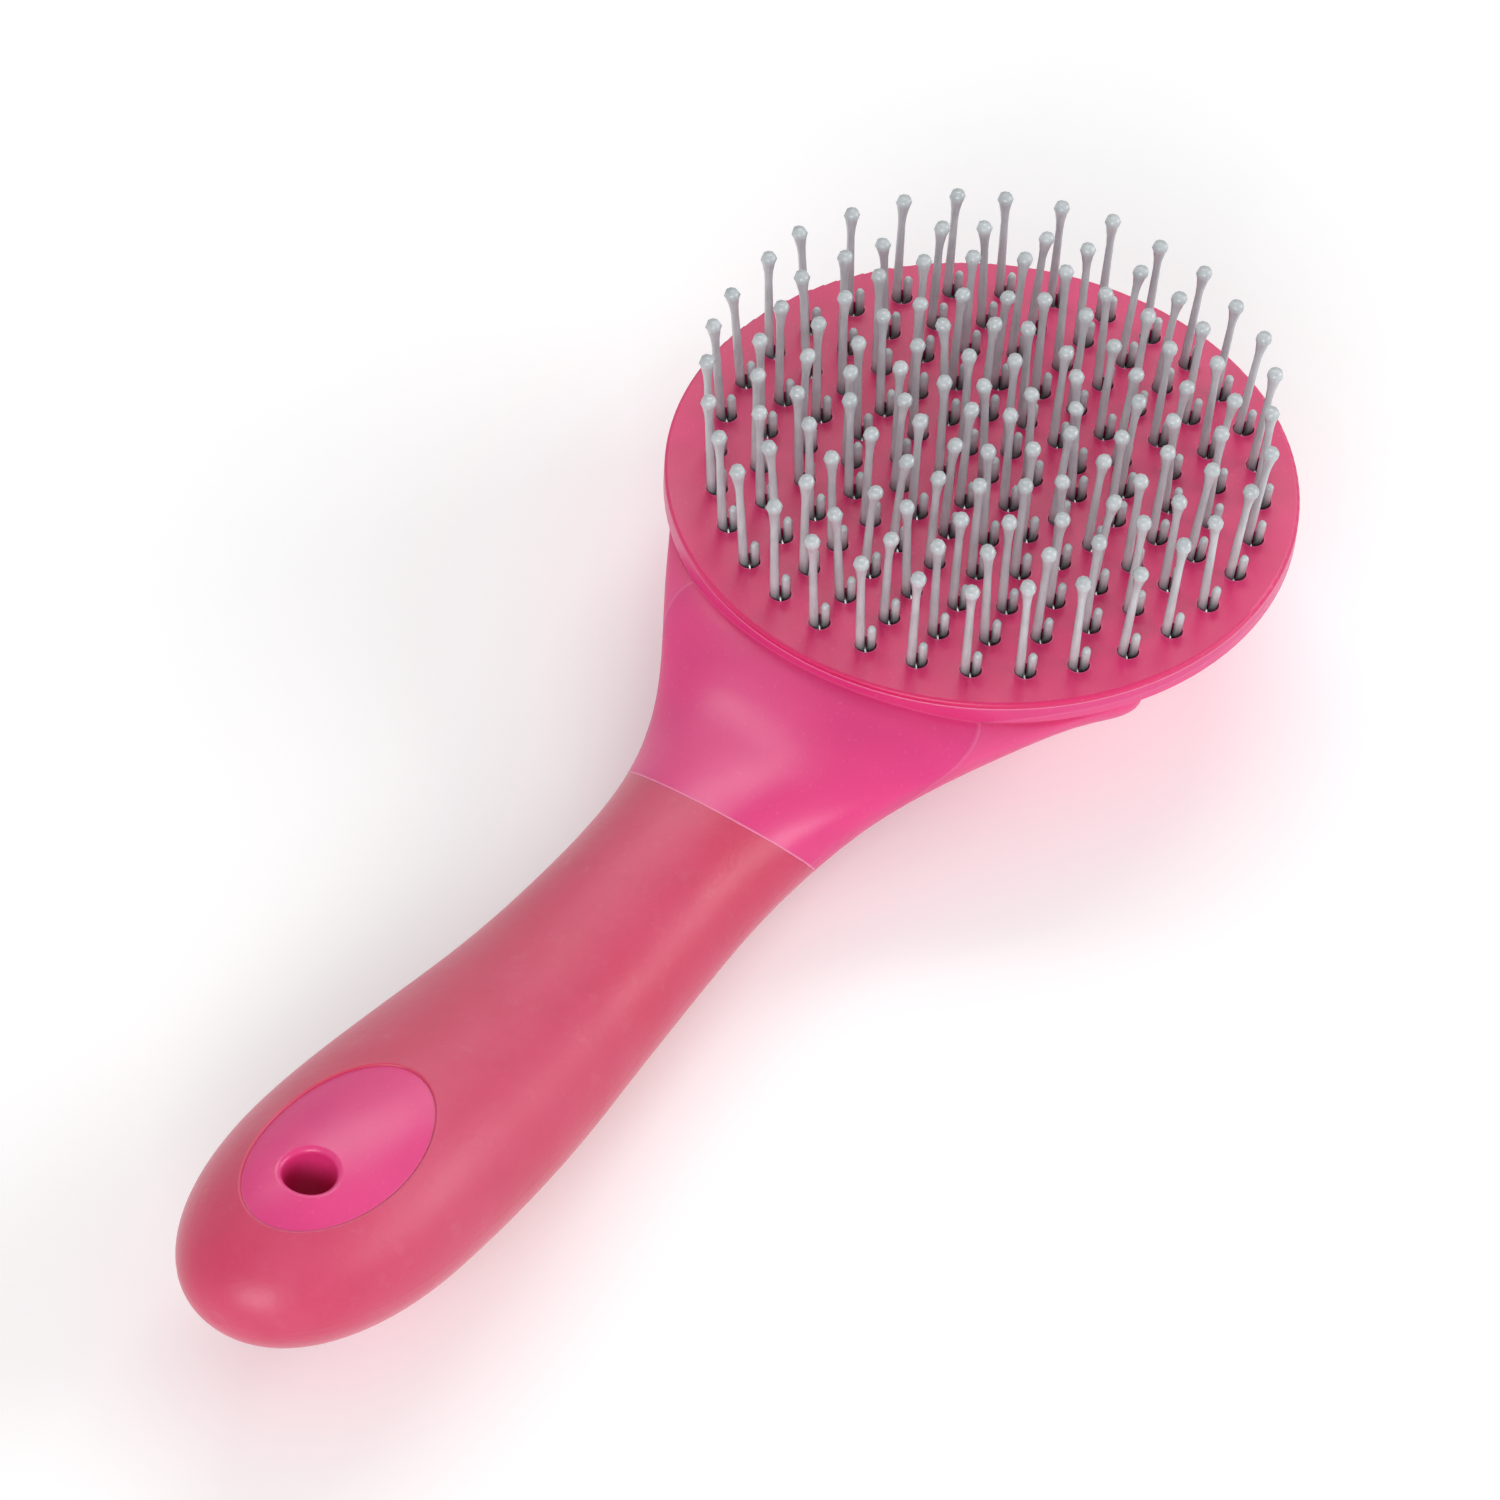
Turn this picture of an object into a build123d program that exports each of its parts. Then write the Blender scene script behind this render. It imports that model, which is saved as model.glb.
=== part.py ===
from build123d import *
import math
import os

# Mane and tail brush: a round head of ball-tipped filament pins on a
# hard-plastic body, with a soft grip moulded round the handle.
# Millimetres. X runs along the brush with the head at +X and the hanging hole
# at -X, Y runs across it, and Z is up. The brush lies on its back, pins up,
# with the origin on the table under the middle of its length.

# Overall sizes
head_radius = 42.0
head_depth = 24.0            # from the pin face down to the flat of the back
handle_reach = 172.4         # from the middle of the head to the handle's end
overall_length = head_radius + handle_reach
head_x = overall_length / 2 - head_radius

# Head
rim_height = 3.3             # upright band under the pin face
flank_angle = 45.0           # slope of the back just inside the band
back_flat_radius = 9.0       # small flat that the head rests on
cover_wall = 1.5             # thickness of the back cover
grip_wall = 2.0              # thickness of the soft grip
plate_edge = 0.9             # part of the pin block that shows round the rim
face_rounding = 0.45         # top edge of the pin block
seam_rounding = 0.15         # edges that meet at the seam under the plate
plug_radius = 38.9           # part of the pin block that sits inside the head
plug_taper = 1.0
plug_depth = 4.7
pocket_clearance = 0.1
seat_room = 6.0              # clear height above the seat of the plate
core_cavity_radius = 24.0    # hollow under the pin block that saves plastic
core_cavity_depth = 18.5
cavity_taper = 4.0

# Parting line of the back cover: level under the rim, then turning down
# across the neck
cover_top = 2.2              # below the pin face
cover_turn = 27.0            # where the line leaves the rim, from head middle
cover_front = 53.0           # where the line crosses the underside

# Seam between the hard neck and the soft grip, leaning towards the head
seam_top_reach = 68.5
seam_top_depth = 3.5
seam_lean = 0.7

# Handle outline. Each row is a place along the brush: distance from the
# middle of the head, half width, depth of the widest line below the pin face,
# rise above that line and drop below it.
outline_rows = (
    (12.0, 27.0, 4.5, 1.8, 9.0),
    (24.0, 33.4, 5.0, 2.5, 8.2),
    (33.0, 27.9, 5.3, 3.3, 8.6),
    (42.0, 22.5, 6.6, 4.6, 9.8),
    (51.0, 17.4, 8.9, 5.2, 10.8),
    (60.0, 14.3, 11.3, 7.9, 10.8),
    (72.0, 12.8, 12.9, 9.9, 10.2),
    (86.0, 13.0, 13.3, 10.3, 10.6),
    (100.0, 13.9, 12.9, 10.6, 11.05),
    (115.0, 15.3, 11.5, 11.7, 12.0),
    (130.0, 16.3, 9.2, 12.5, 12.6),
    (140.0, 16.5, 7.6, 12.7, 12.5),
)
# Rounded end of the handle, past the last row
end_roundness = 2.2
end_rise = 4.4               # how much the widest line climbs to the tip
end_steps = (0.25, 0.5, 0.7, 0.84, 0.93, 0.98, 0.998)

# Oval windows in the grip and the hanging hole through them
window_reach = 147.4
window_half_length = 15.4
window_half_width = 9.2
window_sink = 0.35           # hard plastic sits this far below the grip
lip_rounding = 0.3           # edge of the grip round each window
hole_reach = 153.5
hole_radius = 3.3
mouth_rounding = 0.7         # both mouths of the hanging hole

# Pin field: rings from the rim inwards
ring_radii = (36.0, 30.0, 24.3, 18.1, 11.9, 5.8, 0.0)
ring_counts = (32, 28, 24, 20, 14, 6, 1)
ring_turns = (5.6, 6.4, 7.5, 9.0, 6.0, 0.0, 0.0)
fan_angle = 4.9              # outward lean of the outermost pins

# Pin: one filament folded in two, the long leg ending in a ball
filament_radius = 0.62
pin_foot_radius = 0.66
pin_neck_radius = 0.52
pin_height = 15.9            # from the face to the middle of the ball
ball_radius = 1.12
ball_taper = 3.6
fold_spacing = 1.5
fold_depth = 2.8             # from the face to the middle of the fold
tail_height = 2.7
tail_direction = -50.0
pin_hole_radius = 1.45
pin_hole_depth = 4.2
anchor_width = 2.8
anchor_height = 1.2
anchor_thickness = 0.2

face_z = head_depth
lean_back = math.radians(flank_angle)
back_bow = math.sin(lean_back) / (1 - math.cos(lean_back))
# How far in the slope runs before it rounds over into the flat
flank_width = ((back_flat_radius - head_radius + back_bow * (face_z - rim_height))
               / (back_bow * math.tan(lean_back) - 1))
far = 400.0                  # past every part of the brush


def handle_sections(inset):
    """Rows of the handle outline, each pulled in by the same amount."""
    rows = []
    for reach, half_width, depth, rise, drop in outline_rows:
        rows.append((head_x - reach, half_width - inset, face_z - depth,
                     rise - min(inset, rise / 2), drop - inset))
    last = outline_rows[-1]
    span = handle_reach - last[0] - inset
    for step in end_steps:
        scale = (1 - step ** end_roundness) ** (1 / end_roundness)
        rows.append((head_x - last[0] - step * span,
                     (last[1] - inset) * scale,
                     face_z - last[2] + end_rise * step,
                     (last[3] - inset) * scale,
                     (last[4] - inset) * scale))
    return rows


def handle_solid(inset):
    """Neck and handle, lofted through half-ellipse sections."""
    with BuildPart() as solid:
        for x, half_width, z, rise, drop in handle_sections(inset):
            section = Plane(origin=(x, 0, z), x_dir=(0, 1, 0), z_dir=(1, 0, 0))
            with BuildSketch(section):
                with BuildLine():
                    EllipticalCenterArc((0, 0), half_width, rise, 0, arc_size=180)
                    EllipticalCenterArc((0, 0), half_width, drop, 180, arc_size=180)
                make_face()
        loft()
    return solid.part


def head_solid(inset):
    """Round head turned from its side profile."""
    radius = head_radius - inset
    rim_z = face_z - rim_height + inset * (math.sqrt(2) - 1)
    turn = (radius - flank_width, rim_z - flank_width * math.tan(lean_back))
    drop = turn[1] - inset
    curve = drop / (1 - math.cos(lean_back))
    flat = (turn[0] - curve * math.sin(lean_back), inset)
    middle = (turn[0] - curve * (math.sin(lean_back) - math.sin(lean_back / 2)),
              inset + curve * (1 - math.cos(lean_back / 2)))
    with BuildPart() as solid:
        with BuildSketch(Plane.XZ):
            with BuildLine():
                Polyline((0, inset), (0, face_z), (radius, face_z),
                         (radius, rim_z), turn)
                ThreePointArc(turn, middle, flat)
                Line(flat, (0, inset))
            make_face()
        revolve(axis=Axis.Z)
    return solid.part.moved(Location((head_x, 0, 0)))


def window_column(top_side):
    """Upright oval column that fills one window."""
    middle_z = face_z - outline_rows[-1][2]
    with BuildPart() as column:
        with BuildSketch(Plane.XY.offset(middle_z)):
            with Locations((head_x - window_reach, 0)):
                Ellipse(window_half_length, window_half_width)
        extrude(amount=far if top_side else -far)
    return column.part


def rim_edges(solid, height):
    """Full circles of the rim at one height."""
    circles = solid.edges().filter_by(GeomType.CIRCLE).filter_by_position(
        Axis.Z, height - 0.01, height + 0.01)
    return circles.filter_by(lambda edge: abs(edge.radius - head_radius) < 0.01)


def hole_mouths(solid):
    """Edges where the hanging hole opens."""
    def is_mouth(edge):
        if edge.bounding_box().size.Z > hole_radius or edge.length < hole_radius:
            return False
        return all(abs(math.hypot(point.X - head_x + hole_reach, point.Y) - hole_radius) < 0.02
                   for point in edge.positions((0.1, 0.4, 0.7)))
    return solid.edges().filter_by(is_mouth)


def window_lips(solid):
    """Outer edges of the two windows."""
    def on_window(edge):
        return all(abs(math.hypot((point.X - head_x + window_reach) / window_half_length,
                                  point.Y / window_half_width) - 1) < 0.005
                   for point in edge.positions((0.1, 0.4, 0.7)))
    rings = solid.edges().filter_by(on_window)
    rings = rings.filter_by(lambda edge: edge.length > window_half_length)
    return rings.sort_by(Axis.Z)[-1:] + rings.sort_by(Axis.Z)[:1]


def pin_places(radius, count, turn, shift):
    """Leaning places round one ring; shift slides along each fold."""
    places = []
    for index in range(count):
        angle = turn + 360.0 * index / count
        lean = fan_angle * radius / ring_radii[0]
        spot = Location((head_x + radius * math.cos(math.radians(angle)),
                         radius * math.sin(math.radians(angle)), face_z))
        tilt = Location((0, 0, 0), (0, 0, angle)) * Location((0, 0, 0), (0, lean, 0))
        face_on = tilt * Location((0, 0, 0), (0, 0, tail_direction - angle))
        places.append(spot * face_on * Location((shift, 0, 0)))
    return places


# Whole outside shape and the shape inside the outer walls
outside = head_solid(0) + handle_solid(0)
inside = head_solid(cover_wall) + handle_solid(grip_wall)

# Space of the grip: everything behind the leaning seam, which meets the table
# plane's height at seam_x
seam_x = head_x - seam_top_reach + seam_lean * (head_depth - seam_top_depth)
with BuildPart() as grip_zone:
    with BuildSketch(Plane.XZ):
        with BuildLine():
            Polyline(
                (seam_x - seam_lean * 2 * head_depth, face_z + head_depth),
                (head_x - far, face_z + head_depth),
                (head_x - far, -head_depth),
                (seam_x + seam_lean * head_depth, -head_depth),
                close=True,
            )
        make_face()
    extrude(amount=far, both=True)

# Space of the back cover: below the parting line, ahead of its turn
cover_top_z = face_z - cover_top
with BuildPart() as cover_zone:
    with BuildSketch(Plane.XZ):
        with BuildLine():
            EllipticalCenterArc((head_x - cover_turn, 0), cover_front - cover_turn,
                                cover_top_z, 90, arc_size=90)
            Polyline(
                (head_x - cover_front, 0),
                (head_x - cover_front, -head_depth),
                (head_x + far, -head_depth),
                (head_x + far, cover_top_z),
                (head_x - cover_turn, cover_top_z),
            )
        make_face()
    extrude(amount=far, both=True)

# Hanging hole, straight down through the handle
with BuildPart() as hanging_bore:
    with Locations((head_x - hole_reach, 0, 0)):
        Cylinder(hole_radius, far)

# One pin, its long leg on the origin with the face at z = 0
tip_z = pin_height
with BuildPart() as pin:
    with BuildSketch(Plane.XZ):
        with BuildLine():
            Polyline((0, tip_z + ball_radius), (0, -fold_depth), (filament_radius, -fold_depth),
                     (pin_foot_radius, 0), (pin_neck_radius, tip_z - ball_taper))
            shoulder = math.radians(-35)
            side = (ball_radius * math.cos(shoulder), tip_z + ball_radius * math.sin(shoulder))
            Line((pin_neck_radius, tip_z - ball_taper), side)
            ThreePointArc(side, (ball_radius * math.cos(math.radians(30)),
                                 tip_z + ball_radius * math.sin(math.radians(30))),
                          (0, tip_z + ball_radius))
        make_face()
    revolve(axis=Axis.Z)
    with Locations((fold_spacing, 0, -fold_depth)):
        Cylinder(filament_radius, fold_depth + tail_height,
                 align=(Align.CENTER, Align.CENTER, Align.MIN))
    with Locations((fold_spacing, 0, tail_height)):
        Sphere(filament_radius)
    with BuildSketch(Plane.XY.offset(-fold_depth)):
        with Locations((fold_spacing, 0)):
            Circle(filament_radius)
    revolve(axis=Axis((fold_spacing / 2, 0, -fold_depth), (0, 1, 0)), revolution_arc=180)

# One anchor strip, lying between the two legs above the fold
anchor_z = -fold_depth + filament_radius / 2
with BuildPart() as anchor:
    with Locations((fold_spacing / 2, 0, anchor_z)):
        Box(anchor_thickness, anchor_width, anchor_height,
            align=(Align.CENTER, Align.CENTER, Align.MIN))

with BuildPart() as pin_hole:
    Cylinder(pin_hole_radius, pin_hole_depth + 2.0,
             align=(Align.CENTER, Align.CENTER, Align.MIN))

# Pin block: a flanged disc, drilled from its face
with BuildPart() as pin_block:
    with Locations((head_x, 0, face_z)):
        Cylinder(head_radius, plate_edge, align=(Align.CENTER, Align.CENTER, Align.MAX))
        Cone(plug_radius - plug_taper, plug_radius, plug_depth,
             align=(Align.CENTER, Align.CENTER, Align.MAX))
    fillet(pin_block.edges().group_by(Axis.Z)[-1], face_rounding)
    fillet(rim_edges(pin_block, face_z - plate_edge), seam_rounding)
    drills = []
    for radius, count, turn in zip(ring_radii, ring_counts, ring_turns):
        for place in pin_places(radius, count, turn, fold_spacing / 2):
            drills.append(pin_hole.part.moved(place * Location((0, 0, -pin_hole_depth))))
    add(drills, mode=Mode.SUBTRACT)
pin_block.part.label = "pin_block"

# Back cover: the outer wall of the head under the parting line
with BuildPart() as back_cover:
    add(outside)
    add(inside, mode=Mode.SUBTRACT)
    add(cover_zone.part, mode=Mode.INTERSECT)
back_cover.part.label = "back_cover"

# Soft grip: the outer wall of the handle behind the seam
with BuildPart() as soft_grip:
    add(outside)
    add(inside, mode=Mode.SUBTRACT)
    add(grip_zone.part, mode=Mode.INTERSECT)
    add(window_column(True), mode=Mode.SUBTRACT)
    add(window_column(False), mode=Mode.SUBTRACT)
    fillet(window_lips(soft_grip), lip_rounding)
soft_grip.part.label = "soft_grip"

# Hard body: neck, inner head and the core of the handle
with BuildPart() as window_pads:
    add(handle_solid(window_sink))
    pads = window_column(True) + window_column(False)
    add(pads, mode=Mode.INTERSECT)

with BuildPart() as hard_body:
    add(outside)
    add(grip_zone.part, mode=Mode.SUBTRACT)
    add(cover_zone.part, mode=Mode.SUBTRACT)
    add(inside)
    add(window_pads.part)
    add(hanging_bore.part, mode=Mode.SUBTRACT)
    with Locations((head_x, 0, face_z - plate_edge)):
        Cylinder(head_radius + 1, seat_room, align=(Align.CENTER, Align.CENTER, Align.MIN),
                 mode=Mode.SUBTRACT)
    with Locations((head_x, 0, face_z)):
        Cone(plug_radius - plug_taper + pocket_clearance, plug_radius + pocket_clearance,
             plug_depth, align=(Align.CENTER, Align.CENTER, Align.MAX), mode=Mode.SUBTRACT)
    with Locations((head_x, 0, face_z - plug_depth)):
        Cone(core_cavity_radius - cavity_taper, core_cavity_radius, core_cavity_depth - plug_depth,
             align=(Align.CENTER, Align.CENTER, Align.MAX), mode=Mode.SUBTRACT)
    fillet(hole_mouths(hard_body), mouth_rounding)
    fillet(rim_edges(hard_body, face_z - plate_edge), seam_rounding)
hard_body.part.label = "hard_body"

os.makedirs("parts", exist_ok=True)
for name, built in (("hard_body", hard_body), ("soft_grip", soft_grip),
                    ("pin_block", pin_block), ("back_cover", back_cover)):
    export_step(built.part, f"parts/{name}.step")

for number, (radius, count, turn) in enumerate(zip(ring_radii, ring_counts, ring_turns), 1):
    places = pin_places(radius, count, turn, 0)
    pins = Compound([pin.part.solid().moved(place) for place in places])
    pins.label = f"pins_ring_{number}"
    export_step(pins, f"parts/pins_ring_{number}.step")
    anchors = Compound([anchor.part.solid().moved(place) for place in places])
    anchors.label = f"anchors_ring_{number}"
    export_step(anchors, f"parts/anchors_ring_{number}.step")
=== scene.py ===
"""Looks of a mane and tail brush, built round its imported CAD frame."""

import logging
import math
import random
from collections.abc import Callable
from dataclasses import dataclass, field
from enum import Enum

import bmesh
import bpy
from mathutils import Matrix, Vector

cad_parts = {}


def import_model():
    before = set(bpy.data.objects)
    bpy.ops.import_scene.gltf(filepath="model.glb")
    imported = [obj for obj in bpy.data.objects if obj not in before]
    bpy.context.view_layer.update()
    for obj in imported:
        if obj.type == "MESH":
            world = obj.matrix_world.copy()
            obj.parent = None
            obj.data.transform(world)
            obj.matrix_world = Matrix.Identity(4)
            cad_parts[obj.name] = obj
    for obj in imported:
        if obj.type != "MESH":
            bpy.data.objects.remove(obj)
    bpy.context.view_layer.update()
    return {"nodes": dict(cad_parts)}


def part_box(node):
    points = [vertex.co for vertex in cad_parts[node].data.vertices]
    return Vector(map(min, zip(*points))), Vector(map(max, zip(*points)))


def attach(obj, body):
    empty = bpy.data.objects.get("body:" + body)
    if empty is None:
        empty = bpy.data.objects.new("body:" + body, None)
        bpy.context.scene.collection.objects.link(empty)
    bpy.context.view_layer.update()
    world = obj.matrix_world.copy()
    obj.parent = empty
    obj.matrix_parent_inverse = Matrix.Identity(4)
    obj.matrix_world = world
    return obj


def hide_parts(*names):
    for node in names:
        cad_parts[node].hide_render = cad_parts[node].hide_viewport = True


log = logging.getLogger("brush")

MM = 0.001
BODY = "root"


class Noise(Enum):
    """Noise kinds that the finishes draw their grain from."""

    SOFT = "FBM"
    RIDGED = "RIDGED_MULTIFRACTAL"


@dataclass(frozen=True)
class Shade:
    """A colour written as it should look, in sRGB from 0 to 255."""

    red: float
    green: float
    blue: float

    def linear(self) -> tuple[float, float, float, float]:
        """Returns the colour as linear RGBA."""
        out = []
        for value in (self.red, self.green, self.blue):
            level = value / 255
            out.append(level / 12.92 if level <= 0.04045 else ((level + 0.055) / 1.055) ** 2.4)
        return (out[0], out[1], out[2], 1.0)


class NodeSheet:
    """A material's node tree, with short calls for the nodes that the finishes share."""

    def __init__(self, name: str) -> None:
        """Makes a material with an empty tree.

        Args:
            name: the material's name.
        """
        self.material = bpy.data.materials.new(name)
        self.material.use_nodes = True
        self.tree = self.material.node_tree
        self.tree.nodes.clear()
        self.coords = self.tree.nodes.new("ShaderNodeTexCoord")
        self.shader = self.tree.nodes.new("ShaderNodeBsdfPrincipled")
        output = self.tree.nodes.new("ShaderNodeOutputMaterial")
        self.link(self.shader.outputs["BSDF"], output.inputs["Surface"])

    def link(self, start: bpy.types.NodeSocket, end: bpy.types.NodeSocket) -> None:
        """Joins two sockets."""
        self.tree.links.new(start, end)

    def noise(
        self,
        size: float,
        detail: float = 4.0,
        rough: float = 0.55,
        stretch: tuple[float, float, float] = (1.0, 1.0, 1.0),
        kind: Noise = Noise.SOFT,
    ) -> bpy.types.NodeSocket:
        """Adds noise with features of a given real size.

        Args:
            size: the width of a feature, in metres.
            detail: octaves of finer detail.
            rough: how strong the finer octaves are.
            stretch: how many times longer a feature is along each axis.
            kind: which noise it is.

        Returns:
            The noise's value socket.
        """
        mapping = self.tree.nodes.new("ShaderNodeMapping")
        mapping.inputs["Scale"].default_value = [1 / (size * part) for part in stretch]
        self.link(self.coords.outputs["Object"], mapping.inputs["Vector"])
        node = self.tree.nodes.new("ShaderNodeTexNoise")
        node.noise_type = kind.value
        node.inputs["Scale"].default_value = 1.0
        node.inputs["Detail"].default_value = detail
        node.inputs["Roughness"].default_value = rough
        self.link(mapping.outputs["Vector"], node.inputs["Vector"])
        return node.outputs["Fac"]

    def spread(
        self, value: bpy.types.NodeSocket, low: float, high: float, start: float, end: float
    ) -> bpy.types.NodeSocket:
        """Stretches a value from one range to another and clamps it.

        Args:
            value: the socket to stretch.
            low: the input that gives start.
            high: the input that gives end.
            start: the first output value.
            end: the last output value.

        Returns:
            The stretched value's socket.
        """
        node = self.tree.nodes.new("ShaderNodeMapRange")
        for name, number in (
            ("From Min", low), ("From Max", high), ("To Min", start), ("To Max", end),
        ):
            node.inputs[name].default_value = number
        self.link(value, node.inputs["Value"])
        return node.outputs["Result"]

    def blend(
        self,
        amount: bpy.types.NodeSocket,
        first: bpy.types.NodeSocket | Shade,
        second: bpy.types.NodeSocket | Shade,
    ) -> bpy.types.NodeSocket:
        """Mixes two colours.

        Args:
            amount: 0 gives the first colour and 1 the second.
            first: a colour or a colour socket.
            second: a colour or a colour socket.

        Returns:
            The mixed colour's socket.
        """
        node = self.tree.nodes.new("ShaderNodeMix")
        node.data_type = "RGBA"
        self.link(amount, node.inputs["Factor"])
        for key, colour in (("A", first), ("B", second)):
            socket = [s for s in node.inputs if s.name == key and s.type == "RGBA"][0]
            if isinstance(colour, Shade):
                socket.default_value = colour.linear()
            else:
                self.link(colour, socket)
        return [s for s in node.outputs if s.type == "RGBA"][0]

    def bump(
        self, height: bpy.types.NodeSocket, depth: float, strength: float = 1.0,
        under: bpy.types.NodeSocket | None = None,
    ) -> bpy.types.NodeSocket:
        """Raises the surface by a value.

        Args:
            height: the value that raises it.
            depth: how far a value of 1 raises it, in metres.
            strength: how much of the effect is used.
            under: the normal of a coarser bump below this one.

        Returns:
            The normal's socket.
        """
        node = self.tree.nodes.new("ShaderNodeBump")
        node.inputs["Strength"].default_value = strength
        node.inputs["Distance"].default_value = depth
        self.link(height, node.inputs["Height"])
        if under is not None:
            self.link(under, node.inputs["Normal"])
        return node.outputs["Normal"]

    def edge_mask(
        self, reach: float, flat: float = 0.98, sharp: float = 0.8
    ) -> bpy.types.NodeSocket:
        """Finds edges from how the surface turns.

        Args:
            reach: how far from an edge the mask reaches, in metres.
            flat: the cosine of the turn at which the mask starts.
            sharp: the cosine of the turn at which the mask is full.

        Returns:
            A value near 1 on edges and 0 on flat places.
        """
        bevel = self.tree.nodes.new("ShaderNodeBevel")
        bevel.samples = 4
        bevel.inputs["Radius"].default_value = reach
        geometry = self.tree.nodes.new("ShaderNodeNewGeometry")
        dot = self.tree.nodes.new("ShaderNodeVectorMath")
        dot.operation = "DOT_PRODUCT"
        self.link(bevel.outputs["Normal"], dot.inputs[0])
        self.link(geometry.outputs["Normal"], dot.inputs[1])
        return self.spread(dot.outputs["Value"], flat, sharp, 0.0, 1.0)

    def set(self, **values: float | tuple[float, ...]) -> None:
        """Sets constants on the shader's own sockets, spaces written as underscores."""
        for name, value in values.items():
            self.shader.inputs[name.replace("_", " ")].default_value = value


@dataclass(frozen=True)
class MouldedPlastic:
    """Hard moulded plastic with a satin skin, faint flow marks, pale specks and a painted highlight along
    its edges.
    """

    name: str
    body: Shade
    light: Shade
    deep: Shade
    # edge is the pale colour of the specks and of the painted highlight on edges.
    edge: Shade
    gloss: float = 0.36
    gloss_drop: float = 0.03
    gloss_rise: float = 0.05
    flow_size: float = 34.0 * MM
    mottle_share: float = 0.45
    speck_size: float = 0.6 * MM
    speck_share: float = 0.22
    edge_reach: float = 0.5 * MM
    edge_share: float = 0.55
    sink_size: float = 12.0 * MM
    sink_depth: float = 0.05 * MM
    grain_size: float = 0.5 * MM
    grain_depth: float = 0.004 * MM
    glow: float = 0.12
    glow_depth: float = 4.0 * MM

    def material(self) -> bpy.types.Material:
        """Returns the finished material."""
        sheet = NodeSheet(self.name)
        flow = sheet.noise(self.flow_size, 2.0, 0.45, (1.6, 1.0, 1.0))
        mottle = sheet.noise(self.flow_size / 3, 2.0, 0.5, (1.0, 1.3, 1.0))
        speck = sheet.noise(self.speck_size, 2.0, 0.5)
        colour = sheet.blend(sheet.spread(flow, 0.3, 0.7, 0.0, 1.0), self.body, self.light)
        colour = sheet.blend(sheet.spread(mottle, 0.4, 0.75, 0.0, self.mottle_share), colour, self.deep)
        colour = sheet.blend(
            sheet.spread(speck, 0.62, 0.8, 0.0, self.speck_share), colour, self.edge
        )
        # Painted highlight: edges are blended towards the pale edge colour.
        edge_highlight_mask = sheet.spread(sheet.edge_mask(self.edge_reach), 0.1, 1.0, 0.0, self.edge_share)
        colour = sheet.blend(edge_highlight_mask, colour, self.edge)
        sheet.link(colour, sheet.shader.inputs["Base Color"])
        smear = sheet.noise(self.flow_size / 2, 1.5, 0.4, (1.5, 1.0, 1.0))
        sheet.link(
            sheet.spread(
                smear, 0.3, 0.7, self.gloss - self.gloss_drop, self.gloss + self.gloss_rise
            ),
            sheet.shader.inputs["Roughness"],
        )
        wave = sheet.bump(sheet.noise(self.sink_size, 1.0, 0.3), self.sink_depth)
        grain = sheet.bump(sheet.noise(self.grain_size, 3.0), self.grain_depth, 1.0, wave)
        sheet.link(grain, sheet.shader.inputs["Normal"])
        sheet.set(
            Subsurface_Weight=self.glow, Subsurface_Scale=self.glow_depth,
            Subsurface_Radius=(1.0, 0.35, 0.45), IOR=1.48,
        )
        return sheet.material


@dataclass(frozen=True)
class SoftElastomer:
    """Soft-touch moulded grip: matt, faintly dusty, with a fine spark-eroded grain."""

    name: str
    body: Shade
    light: Shade
    deep: Shade
    dust: Shade
    patch_size: float = 28.0 * MM
    patch_share: float = 0.8
    stain_share: float = 0.5
    dust_size: float = 3.5 * MM
    dust_share: float = 0.3
    rubbed: float = 0.38
    matt: float = 0.5
    wave_size: float = 9.0 * MM
    wave_depth: float = 0.12 * MM
    grain_size: float = 0.7 * MM
    grain_depth: float = 0.03 * MM
    glow: float = 0.18
    glow_depth: float = 3.0 * MM
    bloom: float = 0.2

    def material(self) -> bpy.types.Material:
        """Returns the finished material."""
        sheet = NodeSheet(self.name)
        patch = sheet.noise(self.patch_size, 3.0, 0.5, (1.8, 1.0, 1.0))
        colour = sheet.blend(sheet.spread(patch, 0.35, 0.65, 0.0, self.patch_share), self.body, self.light)
        stain = sheet.noise(self.patch_size / 3, 5.0, 0.62)
        colour = sheet.blend(sheet.spread(stain, 0.5, 0.78, 0.0, self.stain_share), colour, self.deep)
        dust = sheet.noise(self.dust_size, 8.0, 0.7)
        colour = sheet.blend(sheet.spread(dust, 0.56, 0.8, 0.0, self.dust_share), colour, self.dust)
        sheet.link(colour, sheet.shader.inputs["Base Color"])
        rub = sheet.noise(self.patch_size / 2, 5.0, 0.6, (2.0, 1.0, 1.0))
        sheet.link(
            sheet.spread(rub, 0.3, 0.7, self.rubbed, self.matt), sheet.shader.inputs["Roughness"]
        )
        wave = sheet.bump(sheet.noise(self.wave_size, 3.0), self.wave_depth)
        grain = sheet.bump(sheet.noise(self.grain_size, 4.0, 0.6), self.grain_depth, 1.0, wave)
        sheet.link(grain, sheet.shader.inputs["Normal"])
        sheet.set(
            Subsurface_Weight=self.glow, Subsurface_Scale=self.glow_depth,
            Subsurface_Radius=(1.0, 0.3, 0.3), Sheen_Weight=self.bloom, Sheen_Roughness=0.4,
        )
        return sheet.material


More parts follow.
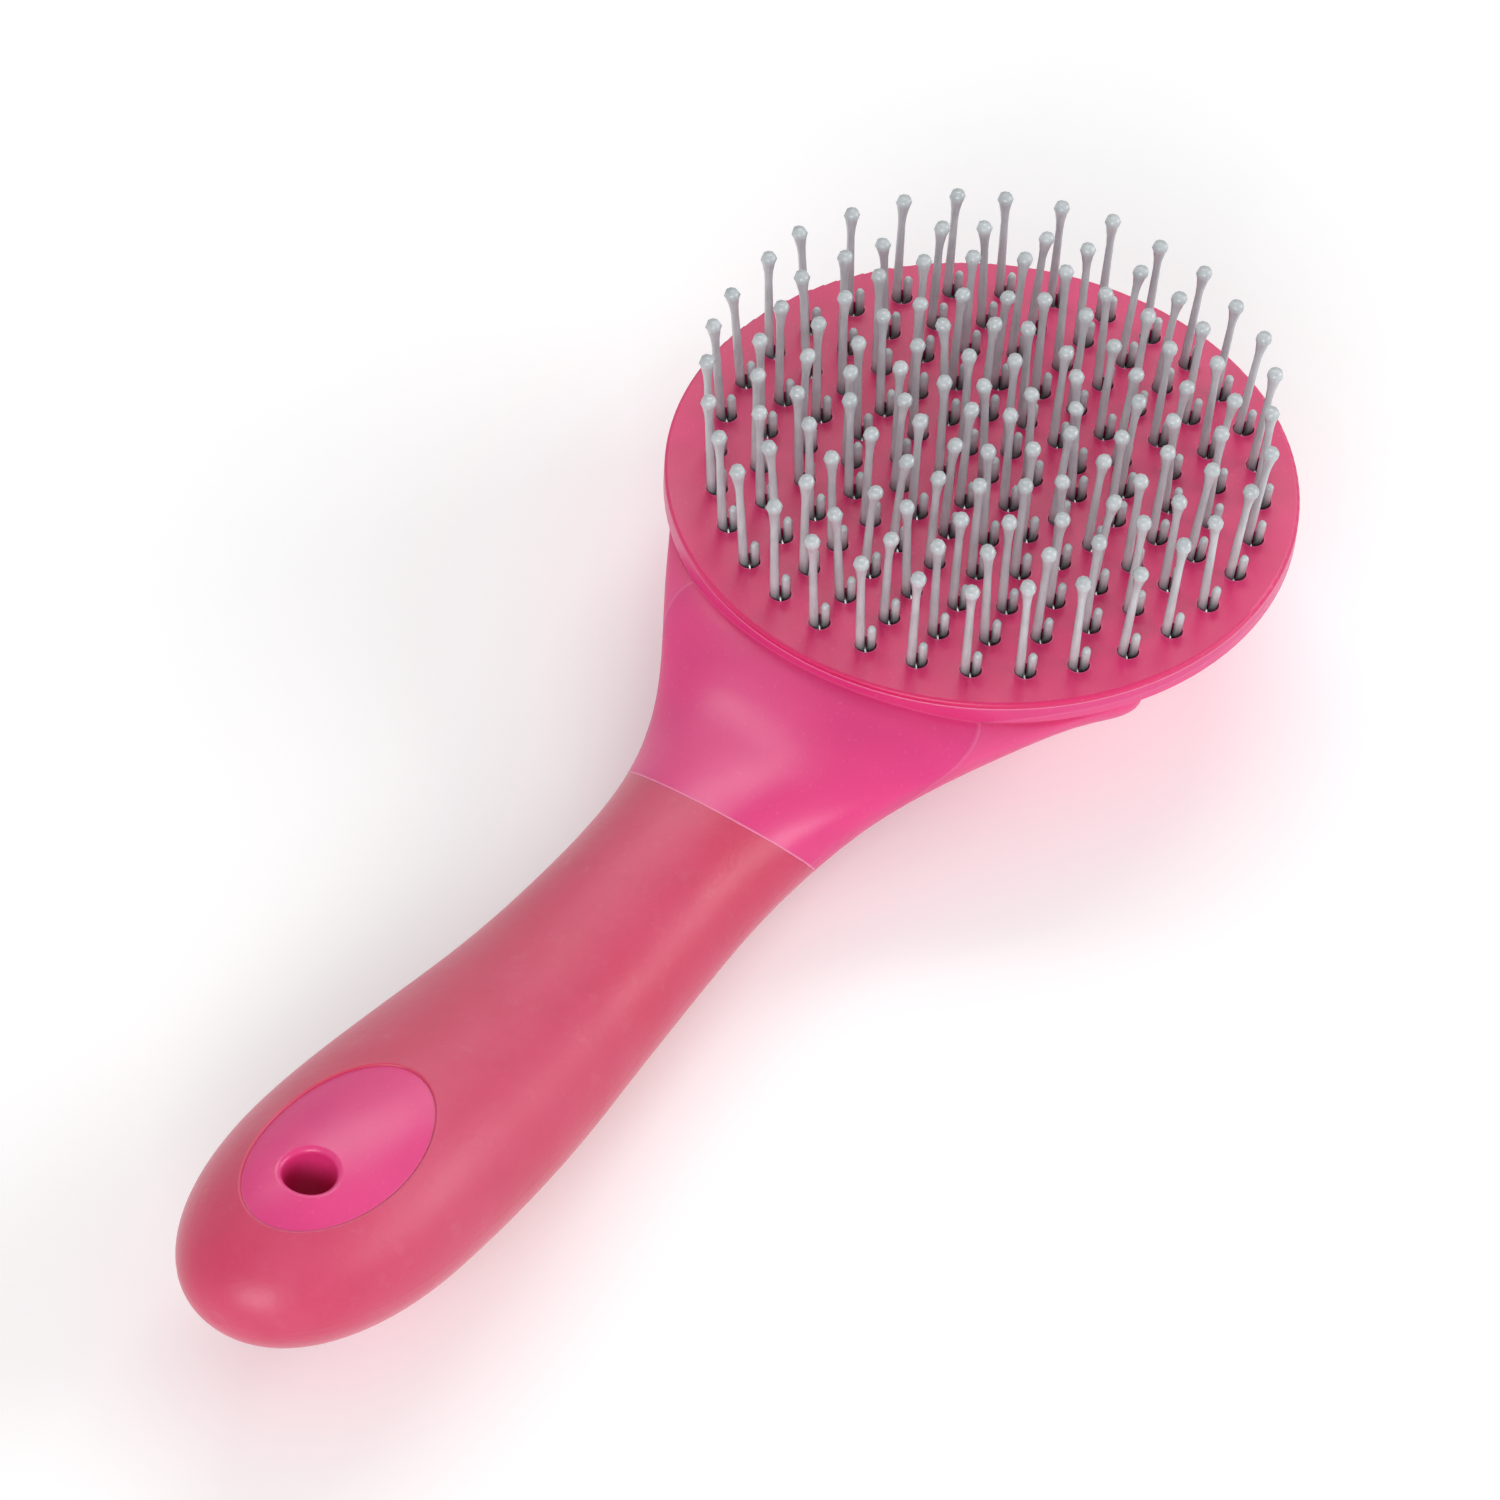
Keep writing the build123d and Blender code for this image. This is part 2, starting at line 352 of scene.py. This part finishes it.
@dataclass(frozen=True)
class NylonFilament:
    """Drawn grey nylon: slightly milky, with lengthwise drawing lines, and painted shade that darkens it
    towards the pin face.
    """

    name: str
    body: Shade
    light: Shade
    deep: Shade
    # root is the painted shade colour that the nylon turns to at the pins' feet.
    root: Shade
    root_level: float = 24.0 * MM
    root_fade: float = 1.9 * MM
    root_share: float = 0.7
    milk_size: float = 4.0 * MM
    streak_size: float = 0.4 * MM
    streak_stretch: float = 12.0
    streak_share: float = 0.5
    streak_depth: float = 0.01 * MM
    smooth: float = 0.29
    dull: float = 0.36
    glow: float = 0.25
    glow_depth: float = 1.2 * MM
    skin: float = 0.4

    def material(self) -> bpy.types.Material:
        """Returns the finished material."""
        sheet = NodeSheet(self.name)
        milk = sheet.noise(self.milk_size, 3.0, 0.5)
        colour = sheet.blend(sheet.spread(milk, 0.35, 0.65, 0.0, 1.0), self.body, self.light)
        streak = sheet.noise(self.streak_size, 3.0, 0.5, (1.0, 1.0, self.streak_stretch))
        colour = sheet.blend(
            sheet.spread(streak, 0.5, 0.8, 0.0, self.streak_share), colour, self.deep
        )
        # Painted shade: the nylon is blended towards the root colour near the pin face, darkest at
        # root_level and gone root_fade above it.
        split = sheet.tree.nodes.new("ShaderNodeSeparateXYZ")
        sheet.link(sheet.coords.outputs["Object"], split.inputs["Vector"])
        unshaded_level = self.root_level + self.root_fade
        root_shade_mask = sheet.spread(
            split.outputs["Z"], self.root_level, unshaded_level, self.root_share, 0.0
        )
        colour = sheet.blend(root_shade_mask, colour, self.root)
        sheet.link(colour, sheet.shader.inputs["Base Color"])
        sheet.link(
            sheet.spread(milk, 0.3, 0.7, self.smooth, self.dull), sheet.shader.inputs["Roughness"]
        )
        sheet.link(sheet.bump(streak, self.streak_depth), sheet.shader.inputs["Normal"])
        sheet.set(
            Subsurface_Weight=self.glow, Subsurface_Scale=self.glow_depth,
            Subsurface_Radius=(1.0, 0.95, 0.95), IOR=1.53,
            Coat_Weight=self.skin, Coat_Roughness=0.1,
        )
        return sheet.material


@dataclass(frozen=True)
class StripSteel:
    """Rolled steel strip for the anchors, its rolling lines along X."""

    name: str
    body: Shade
    light: Shade
    line_size: float = 0.3 * MM
    line_stretch: float = 10.0
    line_depth: float = 0.008 * MM

    def material(self) -> bpy.types.Material:
        """Returns the finished material."""
        sheet = NodeSheet(self.name)
        rolled = sheet.noise(
            self.line_size, 4.0, 0.6, (self.line_stretch, 1.0, 1.0), Noise.RIDGED
        )
        colour = sheet.blend(sheet.spread(rolled, 0.3, 0.7, 0.0, 1.0), self.body, self.light)
        sheet.link(colour, sheet.shader.inputs["Base Color"])
        sheet.link(sheet.spread(rolled, 0.3, 0.7, 0.3, 0.5), sheet.shader.inputs["Roughness"])
        sheet.link(sheet.bump(rolled, self.line_depth), sheet.shader.inputs["Normal"])
        sheet.set(Metallic=1.0)
        return sheet.material


# Each plastic's fourth colour serves its pale specks and the painted highlight on its edges.
HARD_PINK = MouldedPlastic(
    "hard_pink", Shade(218, 51, 120), Shade(223, 63, 130), Shade(204, 39, 115),
    Shade(238, 118, 163), gloss=0.33,
)
# The pin block's pink is made darker than the body's as painted shade for the shadow between the crowded
# pins.
SHADED_BLOCK_PINK = MouldedPlastic(
    "block_pink_painted_shade", Shade(210, 26, 96), Shade(218, 34, 106), Shade(190, 22, 84),
    Shade(240, 120, 164), gloss=0.38,
)
COVER_PINK = MouldedPlastic(
    "cover_pink", Shade(219, 65, 126), Shade(225, 79, 136), Shade(207, 50, 113),
    Shade(238, 122, 165), gloss=0.35,
)
FLASH_PINK = MouldedPlastic(
    "flash_pink", Shade(234, 108, 155), Shade(240, 126, 170), Shade(224, 90, 139),
    Shade(250, 158, 192), gloss=0.35, flow_size=12.0 * MM,
)
GRIP_CORAL = SoftElastomer(
    "grip_coral", Shade(198, 47, 85), Shade(203, 71, 109), Shade(186, 40, 77),
    Shade(202, 118, 134),
)
# The fourth colour is the painted shade at the pins' feet.
GREY_NYLON = NylonFilament(
    "grey_nylon", Shade(177, 184, 187), Shade(193, 199, 202), Shade(149, 156, 160),
    Shade(98, 104, 108),
)
ANCHOR_STEEL = StripSteel("anchor_steel", Shade(150, 150, 153), Shade(190, 190, 192))


def make_object(mesh: bmesh.types.BMesh, name: str, smooth: bool = True) -> bpy.types.Object:
    """Turns a finished bmesh into an object in the scene.

    Args:
        mesh: the mesh, which is freed.
        name: the object's name.
        smooth: whether its faces are shaded smooth.

    Returns:
        The object, at the origin.
    """
    data = bpy.data.meshes.new(name)
    mesh.to_mesh(data)
    mesh.free()
    return link_object(data, name, smooth)


def link_object(data: bpy.types.Mesh, name: str, smooth: bool = True) -> bpy.types.Object:
    """Puts a mesh into the scene as an object.

    Args:
        data: the mesh.
        name: the object's name.
        smooth: whether its faces are shaded smooth.

    Returns:
        The object, at the origin.
    """
    for face in data.polygons:
        face.use_smooth = smooth
    made = bpy.data.objects.new(name, data)
    bpy.context.scene.collection.objects.link(made)
    return made


@dataclass
class Body:
    """The moulded body: CAD shapes that keep their form and get their real finishes."""

    finishes: dict[str, MouldedPlastic | SoftElastomer] = field(
        default_factory=lambda: {
            "hard_body": HARD_PINK,
            "soft_grip": GRIP_CORAL,
            "pin_block": SHADED_BLOCK_PINK,
            "back_cover": COVER_PINK,
        }
    )

    def dress(self, nodes: dict[str, bpy.types.Object]) -> None:
        """Gives each moulding its material.

        Args:
            nodes: the CAD nodes by name.
        """
        for name, finish in self.finishes.items():
            node = nodes[name]
            node.data.materials.clear()
            node.data.materials.append(finish.material())
            log.info("dressed %s in %s", name, finish.name)


@dataclass
class Pin:
    """One folded filament: a long leg with a ball and a short tail that reach down to the fold's depth;
    the fold itself is not built.
    """

    leg_sides: int = 8
    tail_sides: int = 6
    leg_radius: float = 0.66 * MM
    neck_radius: float = 0.52 * MM
    filament_radius: float = 0.62 * MM
    ball_radius: float = 1.12 * MM
    height: float = 15.9 * MM
    taper: float = 3.6 * MM
    spacing: float = 1.5 * MM
    fold_depth: float = 2.8 * MM
    tail_height: float = 2.7 * MM
    swell: float = 1.18
    swell_start: float = 0.6
    ball_turns: tuple[float, ...] = (-40.0, 0.0, 42.0)
    tail_turn: float = 50.0

    def leg_profile(self) -> list[tuple[float, float]]:
        """Returns the long leg's side outline as radius and height pairs, foot first."""
        rows = [(self.filament_radius, -self.fold_depth), (self.leg_radius, 0.0)]
        rows.append((self.neck_radius, self.height - self.taper))
        rows.append((self.neck_radius * self.swell, self.height - self.taper * self.swell_start))
        rows.extend(self.dome(self.ball_radius, self.height, turn) for turn in self.ball_turns)
        return rows

    def tail_profile(self) -> list[tuple[float, float]]:
        """Returns the tail's side outline as radius and height pairs, foot first."""
        rows = [(self.filament_radius, -self.fold_depth), (self.filament_radius, self.tail_height)]
        rows.append(self.dome(self.filament_radius, self.tail_height, self.tail_turn))
        return rows

    def dome(self, radius: float, height: float, turn: float) -> tuple[float, float]:
        """Finds a point of a ball's outline.

        Args:
            radius: the ball's radius.
            height: the height of its centre.
            turn: how far up from its waist the point lies, in degrees.

        Returns:
            The point's radius and height.
        """
        angle = math.radians(turn)
        return (radius * math.cos(angle), height + radius * math.sin(angle))

    def turned(
        self, profile: list[tuple[float, float]], across: float, sides: int
    ) -> bmesh.types.BMesh:
        """Spins a side outline into a closed upright rod.

        Args:
            profile: radius and height pairs.
            across: how far along X the rod's axis stands.
            sides: how many flats go round it.

        Returns:
            The rod's mesh.
        """
        mesh = bmesh.new()
        verts = [mesh.verts.new((across + radius, 0.0, z)) for radius, z in profile]
        edges = [mesh.edges.new(pair) for pair in zip(verts, verts[1:])]
        bmesh.ops.spin(
            mesh, geom=verts + edges, cent=(across, 0, 0), axis=(0, 0, 1),
            angle=math.tau, steps=sides, use_merge=True,
        )
        bmesh.ops.remove_doubles(mesh, verts=mesh.verts[:], dist=1e-7)
        rims = [edge for edge in mesh.edges if edge.is_boundary]
        bmesh.ops.holes_fill(mesh, edges=rims)
        bmesh.ops.recalc_face_normals(mesh, faces=mesh.faces[:])
        return mesh

    def add_to(self, target: bmesh.types.BMesh, place: Matrix, sway: Vector) -> None:
        """Adds this pin to a mesh.

        Args:
            target: the mesh that takes the pin.
            place: where the pin stands, its foot on the face.
            sway: how far the tip is bent aside.
        """
        for profile, across, sides, bends in (
            (self.leg_profile(), 0.0, self.leg_sides, True),
            (self.tail_profile(), self.spacing, self.tail_sides, False),
        ):
            rod = self.turned(profile, across, sides)
            if bends:
                for vert in rod.verts:
                    share = max(0.0, vert.co.z / self.height)
                    vert.co += sway * share * share
            bmesh.ops.transform(rod, matrix=place, verts=rod.verts[:])
            piece = bpy.data.meshes.new("rod")
            rod.to_mesh(piece)
            rod.free()
            target.from_mesh(piece)
            bpy.data.meshes.remove(piece)


@dataclass
class PinField:
    """Rings of pins that stand out of the pin block."""

    radii: tuple[float, ...] = (36.0, 30.0, 24.3, 18.1, 11.9, 5.8, 0.0)
    counts: tuple[int, ...] = (32, 28, 24, 20, 14, 6, 1)
    turns: tuple[float, ...] = (5.6, 6.4, 7.5, 9.0, 6.0, 0.0, 0.0)
    fan: float = 4.9
    tail_direction: float = -50.0
    wander: float = 0.45 * MM
    pin: Pin = field(default_factory=Pin)
    seed: int = 7

    def build(self, centre: Vector) -> list[bpy.types.Object]:
        """Builds one object for each ring.

        Args:
            centre: the middle of the pin face.

        Returns:
            The rings' objects, outermost first.
        """
        dice = random.Random(self.seed)
        rings = []
        for number, (radius, count, turn) in enumerate(zip(self.radii, self.counts, self.turns), 1):
            mesh = bmesh.new()
            for index in range(count):
                angle = math.radians(turn + 360 * index / count)
                lean = math.radians(self.fan * radius / self.radii[0])
                spot = centre + Vector((math.cos(angle), math.sin(angle), 0)) * radius * MM
                place = (
                    Matrix.Translation(spot)
                    @ Matrix.Rotation(angle, 4, "Z")
                    @ Matrix.Rotation(lean, 4, "Y")
                    @ Matrix.Rotation(math.radians(self.tail_direction) - angle, 4, "Z")
                )
                sway = Vector((dice.gauss(0, 1), dice.gauss(0, 1), 0)) * self.wander
                self.pin.add_to(mesh, place, sway)
            rings.append(make_object(mesh, f"nylon_pins_{number}"))
        return rings

    def dress(self, rings: list[bpy.types.Object]) -> None:
        """Gives the rings their nylon and puts them in place of the CAD pins.

        Args:
            rings: the rings' objects, outermost first.
        """
        nylon = GREY_NYLON.material()
        for number, ring in enumerate(rings, 1):
            ring.data.materials.append(nylon)
            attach(ring, BODY)
            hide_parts(f"pins_ring_{number}")
            log.info("built %s with %d faces", ring.name, len(ring.data.polygons))


class Bead:
    """What every fine bead shares: how it is dressed and fixed."""

    slot: str

    def dress(self, bead: bpy.types.Object, material: bpy.types.Material) -> None:
        """Gives the bead its plastic and fixes it to the body.

        Args:
            bead: the bead's object.
            material: the plastic it is made of.
        """
        bead.data.materials.append(material)
        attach(bead, BODY)
        log.info("built %s with %d faces", bead.name, len(bead.data.polygons))


@dataclass
class MouldLine(Bead):
    """A fine bead of flash along a line where two mouldings meet."""

    name: str
    node: str
    slot: str
    line: Callable[[Vector], bool]
    radius: float = 0.1 * MM
    sink: float = 0.06 * MM
    waver: float = 0.25
    sharp_turn: float = 25.0
    seed: int = 3

    def loops(self, mesh: bmesh.types.BMesh) -> list[list[bmesh.types.BMVert]]:
        """Follows the moulding's sharp edges on the line.

        Args:
            mesh: the moulding's mesh, its doubles merged.

        Returns:
            The vertices of each run of edges, in order.
        """
        sharp = math.radians(self.sharp_turn)
        left = dict.fromkeys(
            edge for edge in mesh.edges
            if edge.calc_face_angle(0.0) > sharp and all(self.line(v.co) for v in edge.verts)
        )
        runs = []
        while left:
            first = next(iter(left))
            del left[first]
            run = list(first.verts)
            for end in (-1, 0):
                while True:
                    onward = [edge for edge in run[end].link_edges if edge in left]
                    if not onward:
                        break
                    del left[onward[0]]
                    run.insert(len(run) if end else 0, onward[0].other_vert(run[end]))
            runs.append(run)
        return runs

    def build(self, node: bpy.types.Object) -> bpy.types.Object:
        """Builds the bead along the longest run.

        Args:
            node: the moulding that the bead lies on.

        Returns:
            The bead's object.
        """
        source = bmesh.new()
        source.from_mesh(node.data)
        bmesh.ops.remove_doubles(source, verts=source.verts[:], dist=1e-6)
        run = max(self.loops(source), key=lambda verts: sum(
            (a.co - b.co).length for a, b in zip(verts, verts[1:])
        ))
        closed = run[0] is run[-1]
        dice = random.Random(self.seed)
        curve = bpy.data.curves.new(self.name, "CURVE")
        curve.dimensions = "3D"
        curve.bevel_depth = self.radius
        curve.bevel_resolution = 1
        curve.use_fill_caps = not closed
        spline = curve.splines.new("POLY")
        points = run[:-1] if closed else run
        spline.points.add(len(points) - 1)
        spline.use_cyclic_u = closed
        for point, vert in zip(spline.points, points):
            point.co = (*(vert.co - vert.normal * self.sink), 1.0)
            point.radius = 1 + dice.uniform(-self.waver, self.waver)
        source.free()
        guide = bpy.data.objects.new("guide", curve)
        data = bpy.data.meshes.new_from_object(guide)
        data.name = self.name
        bpy.data.objects.remove(guide)
        data.materials.clear()
        return link_object(data, self.name)


@dataclass
class RimBead(Bead):
    """A fine bead of squeezed-out plastic in the groove under the rim's plate."""

    slot: str = "hard_plastic"
    rim_radius: float = 42.0 * MM
    depth: float = 0.9 * MM
    radius: float = 0.11 * MM
    sides: int = 6
    steps: int = 180

    def build(self, centre: Vector) -> bpy.types.Object:
        """Turns the bead round the head.

        Args:
            centre: the middle of the pin face.

        Returns:
            The bead's object.
        """
        mesh = bmesh.new()
        middle = centre + Vector((self.rim_radius - self.radius, 0, -self.depth))
        upright = Matrix.Translation(middle) @ Matrix.Rotation(math.radians(90), 4, "X")
        profile = bmesh.ops.create_circle(
            mesh, segments=self.sides, radius=self.radius, matrix=upright
        )
        bmesh.ops.spin(
            mesh, geom=profile["verts"] + mesh.edges[:], cent=centre, axis=(0, 0, 1),
            angle=math.tau, steps=self.steps, use_merge=True,
        )
        bmesh.ops.remove_doubles(mesh, verts=mesh.verts[:], dist=1e-7)
        bmesh.ops.recalc_face_normals(mesh, faces=mesh.faces[:])
        return make_object(mesh, "rim_bead")


@dataclass
class MouldLines:
    """The seam round the neck and the parting line of the back cover."""

    seam_reach: float = 68.5 * MM
    seam_depth: float = 3.5 * MM
    seam_lean: float = 0.7
    cover_top: float = 2.2 * MM
    cover_turn: float = 27.0 * MM
    cover_front: float = 53.0 * MM
    slack: float = 0.02 * MM

    def build(self, nodes: dict[str, bpy.types.Object], centre: Vector) -> None:
        """Builds both lines.

        Args:
            nodes: the CAD nodes by name.
            centre: the middle of the pin face.
        """
        top = centre.z - self.cover_top
        turn = centre.x - self.cover_turn
        sweep = self.cover_front - self.cover_turn

        def on_seam(spot: Vector) -> bool:
            across = centre.x - self.seam_reach - spot.x
            return abs(across + self.seam_lean * (centre.z - self.seam_depth - spot.z)) < self.slack

        def on_parting(spot: Vector) -> bool:
            if spot.x > turn:
                return abs(spot.z - top) < self.slack
            return abs(math.hypot((spot.x - turn) / sweep, spot.z / top) - 1) * top < self.slack

        flash = FLASH_PINK.material()
        for line in (
            MouldLine("grip_seam", "soft_grip", "hard_plastic", on_seam, radius=0.12 * MM),
            MouldLine("cover_parting_line", "back_cover", "cover_plastic", on_parting),
        ):
            line.dress(line.build(nodes[line.node]), flash)
        rim = RimBead()
        rim.dress(rim.build(centre), flash)


@dataclass
class Anchors:
    """Steel strips at the foot of each pin."""

    rings: int = 7

    def dress(self, nodes: dict[str, bpy.types.Object]) -> None:
        """Gives the strips their steel.

        Args:
            nodes: the CAD nodes by name.
        """
        steel = ANCHOR_STEEL.material()
        for number in range(1, self.rings + 1):
            node = nodes[f"anchors_ring_{number}"]
            node.data.materials.clear()
            node.data.materials.append(steel)
        log.info("dressed the anchors")


@dataclass(frozen=True)
class SoftBox:
    """A soft box that faces the origin, its angles in degrees."""

    name: str
    azimuth: float
    elevation: float
    width: float
    height: float
    power: float
    away: float = 1.6

    def build(self) -> bpy.types.Object:
        """Makes the lamp and returns it."""
        data = bpy.data.lights.new(self.name, "AREA")
        data.shape = "RECTANGLE"
        data.size = self.width
        data.size_y = self.height
        data.energy = self.power
        lamp = bpy.data.objects.new(self.name, data)
        towards = direction(self.azimuth, self.elevation)
        lamp.rotation_mode = "QUATERNION"
        lamp.rotation_quaternion = (-towards).to_track_quat("-Z", "Y")
        lamp.location = towards * self.away
        bpy.context.scene.collection.objects.link(lamp)
        return lamp


def direction(azimuth: float, elevation: float) -> Vector:
    """Finds where a viewer stands.

    Args:
        azimuth: the turn round the object, in degrees from its front.
        elevation: the rise above the floor, in degrees.

    Returns:
        The unit vector from the object towards the viewer.
    """
    turn, rise = math.radians(azimuth), math.radians(elevation)
    return Vector(
        (math.sin(turn) * math.cos(rise), -math.cos(turn) * math.cos(rise), math.sin(rise))
    )


@dataclass
class Studio:
    """Pale floor, soft lights and the camera."""

    azimuth: float = -60.0
    elevation: float = 46.05
    roll: float = 4.09
    distance: float = 969.3 * MM
    aim: tuple[float, float, float] = (15.31 * MM, 3.55 * MM, 12.0 * MM)
    lens: float = 180.06
    floor_size: float = 6.0
    floor_lift: float = 0.1
    floor_shade: Shade = Shade(250, 250, 250)
    floor_fleck: Shade = Shade(252, 252, 252)
    world_level: float = 0.42
    boxes: tuple[SoftBox, ...] = (
        SoftBox("front_box", -70.0, 26.0, 1.0, 0.7, 14.0),
        SoftBox("side_box", 36.0, 28.0, 1.2, 0.4, 9.0),
        SoftBox("back_box", 118.0, 48.0, 1.3, 0.3, 7.0),
    )

    def build(self) -> None:
        """Makes the camera, the floor, the lights and the world."""
        self.build_camera()
        self.build_floor()
        for box in self.boxes:
            box.build()
        self.build_world()
        bpy.context.scene.view_settings.view_transform = "Standard"
        log.info("built the studio")

    def build_camera(self) -> None:
        """Makes the camera and makes it the scene's."""
        data = bpy.data.cameras.new("camera")
        data.lens = self.lens
        data.sensor_width = 36.0
        data.clip_start, data.clip_end = 0.01, 30.0
        camera = bpy.data.objects.new("camera", data)
        bpy.context.scene.collection.objects.link(camera)
        back = direction(self.azimuth, self.elevation)
        camera.rotation_mode = "QUATERNION"
        facing = (-back).to_track_quat("-Z", "Y").to_matrix().to_4x4()
        turn = facing @ Matrix.Rotation(math.radians(self.roll), 4, "Z")
        camera.rotation_quaternion = turn.to_quaternion()
        camera.location = Vector(self.aim) + back * self.distance
        bpy.context.scene.camera = camera

    def seen_rays(self, tree: bpy.types.NodeTree) -> bpy.types.NodeSocket:
        """Adds a value that is 1 for camera, glossy and transmission rays and 0 for others.

        Args:
            tree: the node tree that takes it.

        Returns:
            The value's socket.
        """
        path = tree.nodes.new("ShaderNodeLightPath")
        seen = path.outputs["Is Camera Ray"]
        for kind in ("Is Glossy Ray", "Is Transmission Ray"):
            most = tree.nodes.new("ShaderNodeMath")
            most.operation = "MAXIMUM"
            tree.links.new(seen, most.inputs[0])
            tree.links.new(path.outputs[kind], most.inputs[1])
            seen = most.outputs["Value"]
        return seen

    def build_floor(self) -> None:
        """Makes the pale floor that takes the shadow."""
        mesh = bmesh.new()
        bmesh.ops.create_grid(mesh, x_segments=2, y_segments=2, size=self.floor_size / 2)
        floor = make_object(mesh, "floor", smooth=False)
        sheet = NodeSheet("pale_floor")
        speck = sheet.noise(0.05, 3.0)
        colour = sheet.blend(speck, self.floor_shade, self.floor_fleck)
        sheet.link(colour, sheet.shader.inputs["Base Color"])
        lift = sheet.spread(self.seen_rays(sheet.tree), 0.0, 1.0, 0.0, self.floor_lift)
        sheet.link(lift, sheet.shader.inputs["Emission Strength"])
        sheet.set(Roughness=0.9, Emission_Color=(1.0, 1.0, 1.0, 1.0))
        floor.data.materials.append(sheet.material)

    def build_world(self) -> None:
        """Makes a soft white world."""
        world = bpy.data.worlds.new("world")
        world.use_nodes = True
        tree = world.node_tree
        background = tree.nodes["Background"]
        background.inputs["Color"].default_value = (1, 1, 1, 1)
        level = tree.nodes.new("ShaderNodeMapRange")
        level.inputs["To Min"].default_value = self.world_level
        level.inputs["To Max"].default_value = 1.0
        tree.links.new(self.seen_rays(tree), level.inputs["Value"])
        tree.links.new(level.outputs["Result"], background.inputs["Strength"])
        bpy.context.scene.world = world


def main() -> None:
    """Builds and dresses the brush, then the studio round it."""
    logging.basicConfig(level=logging.INFO, format="%(name)s: %(message)s")
    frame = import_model()
    nodes = frame["nodes"]
    low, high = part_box("pin_block")
    centre = Vector(((low.x + high.x) / 2, 0.0, high.z))
    Body().dress(nodes)
    pins = PinField()
    pins.dress(pins.build(centre))
    MouldLines().build(nodes, centre)
    Anchors().dress(nodes)
    Studio().build()


if __name__ == "__main__":
    main()
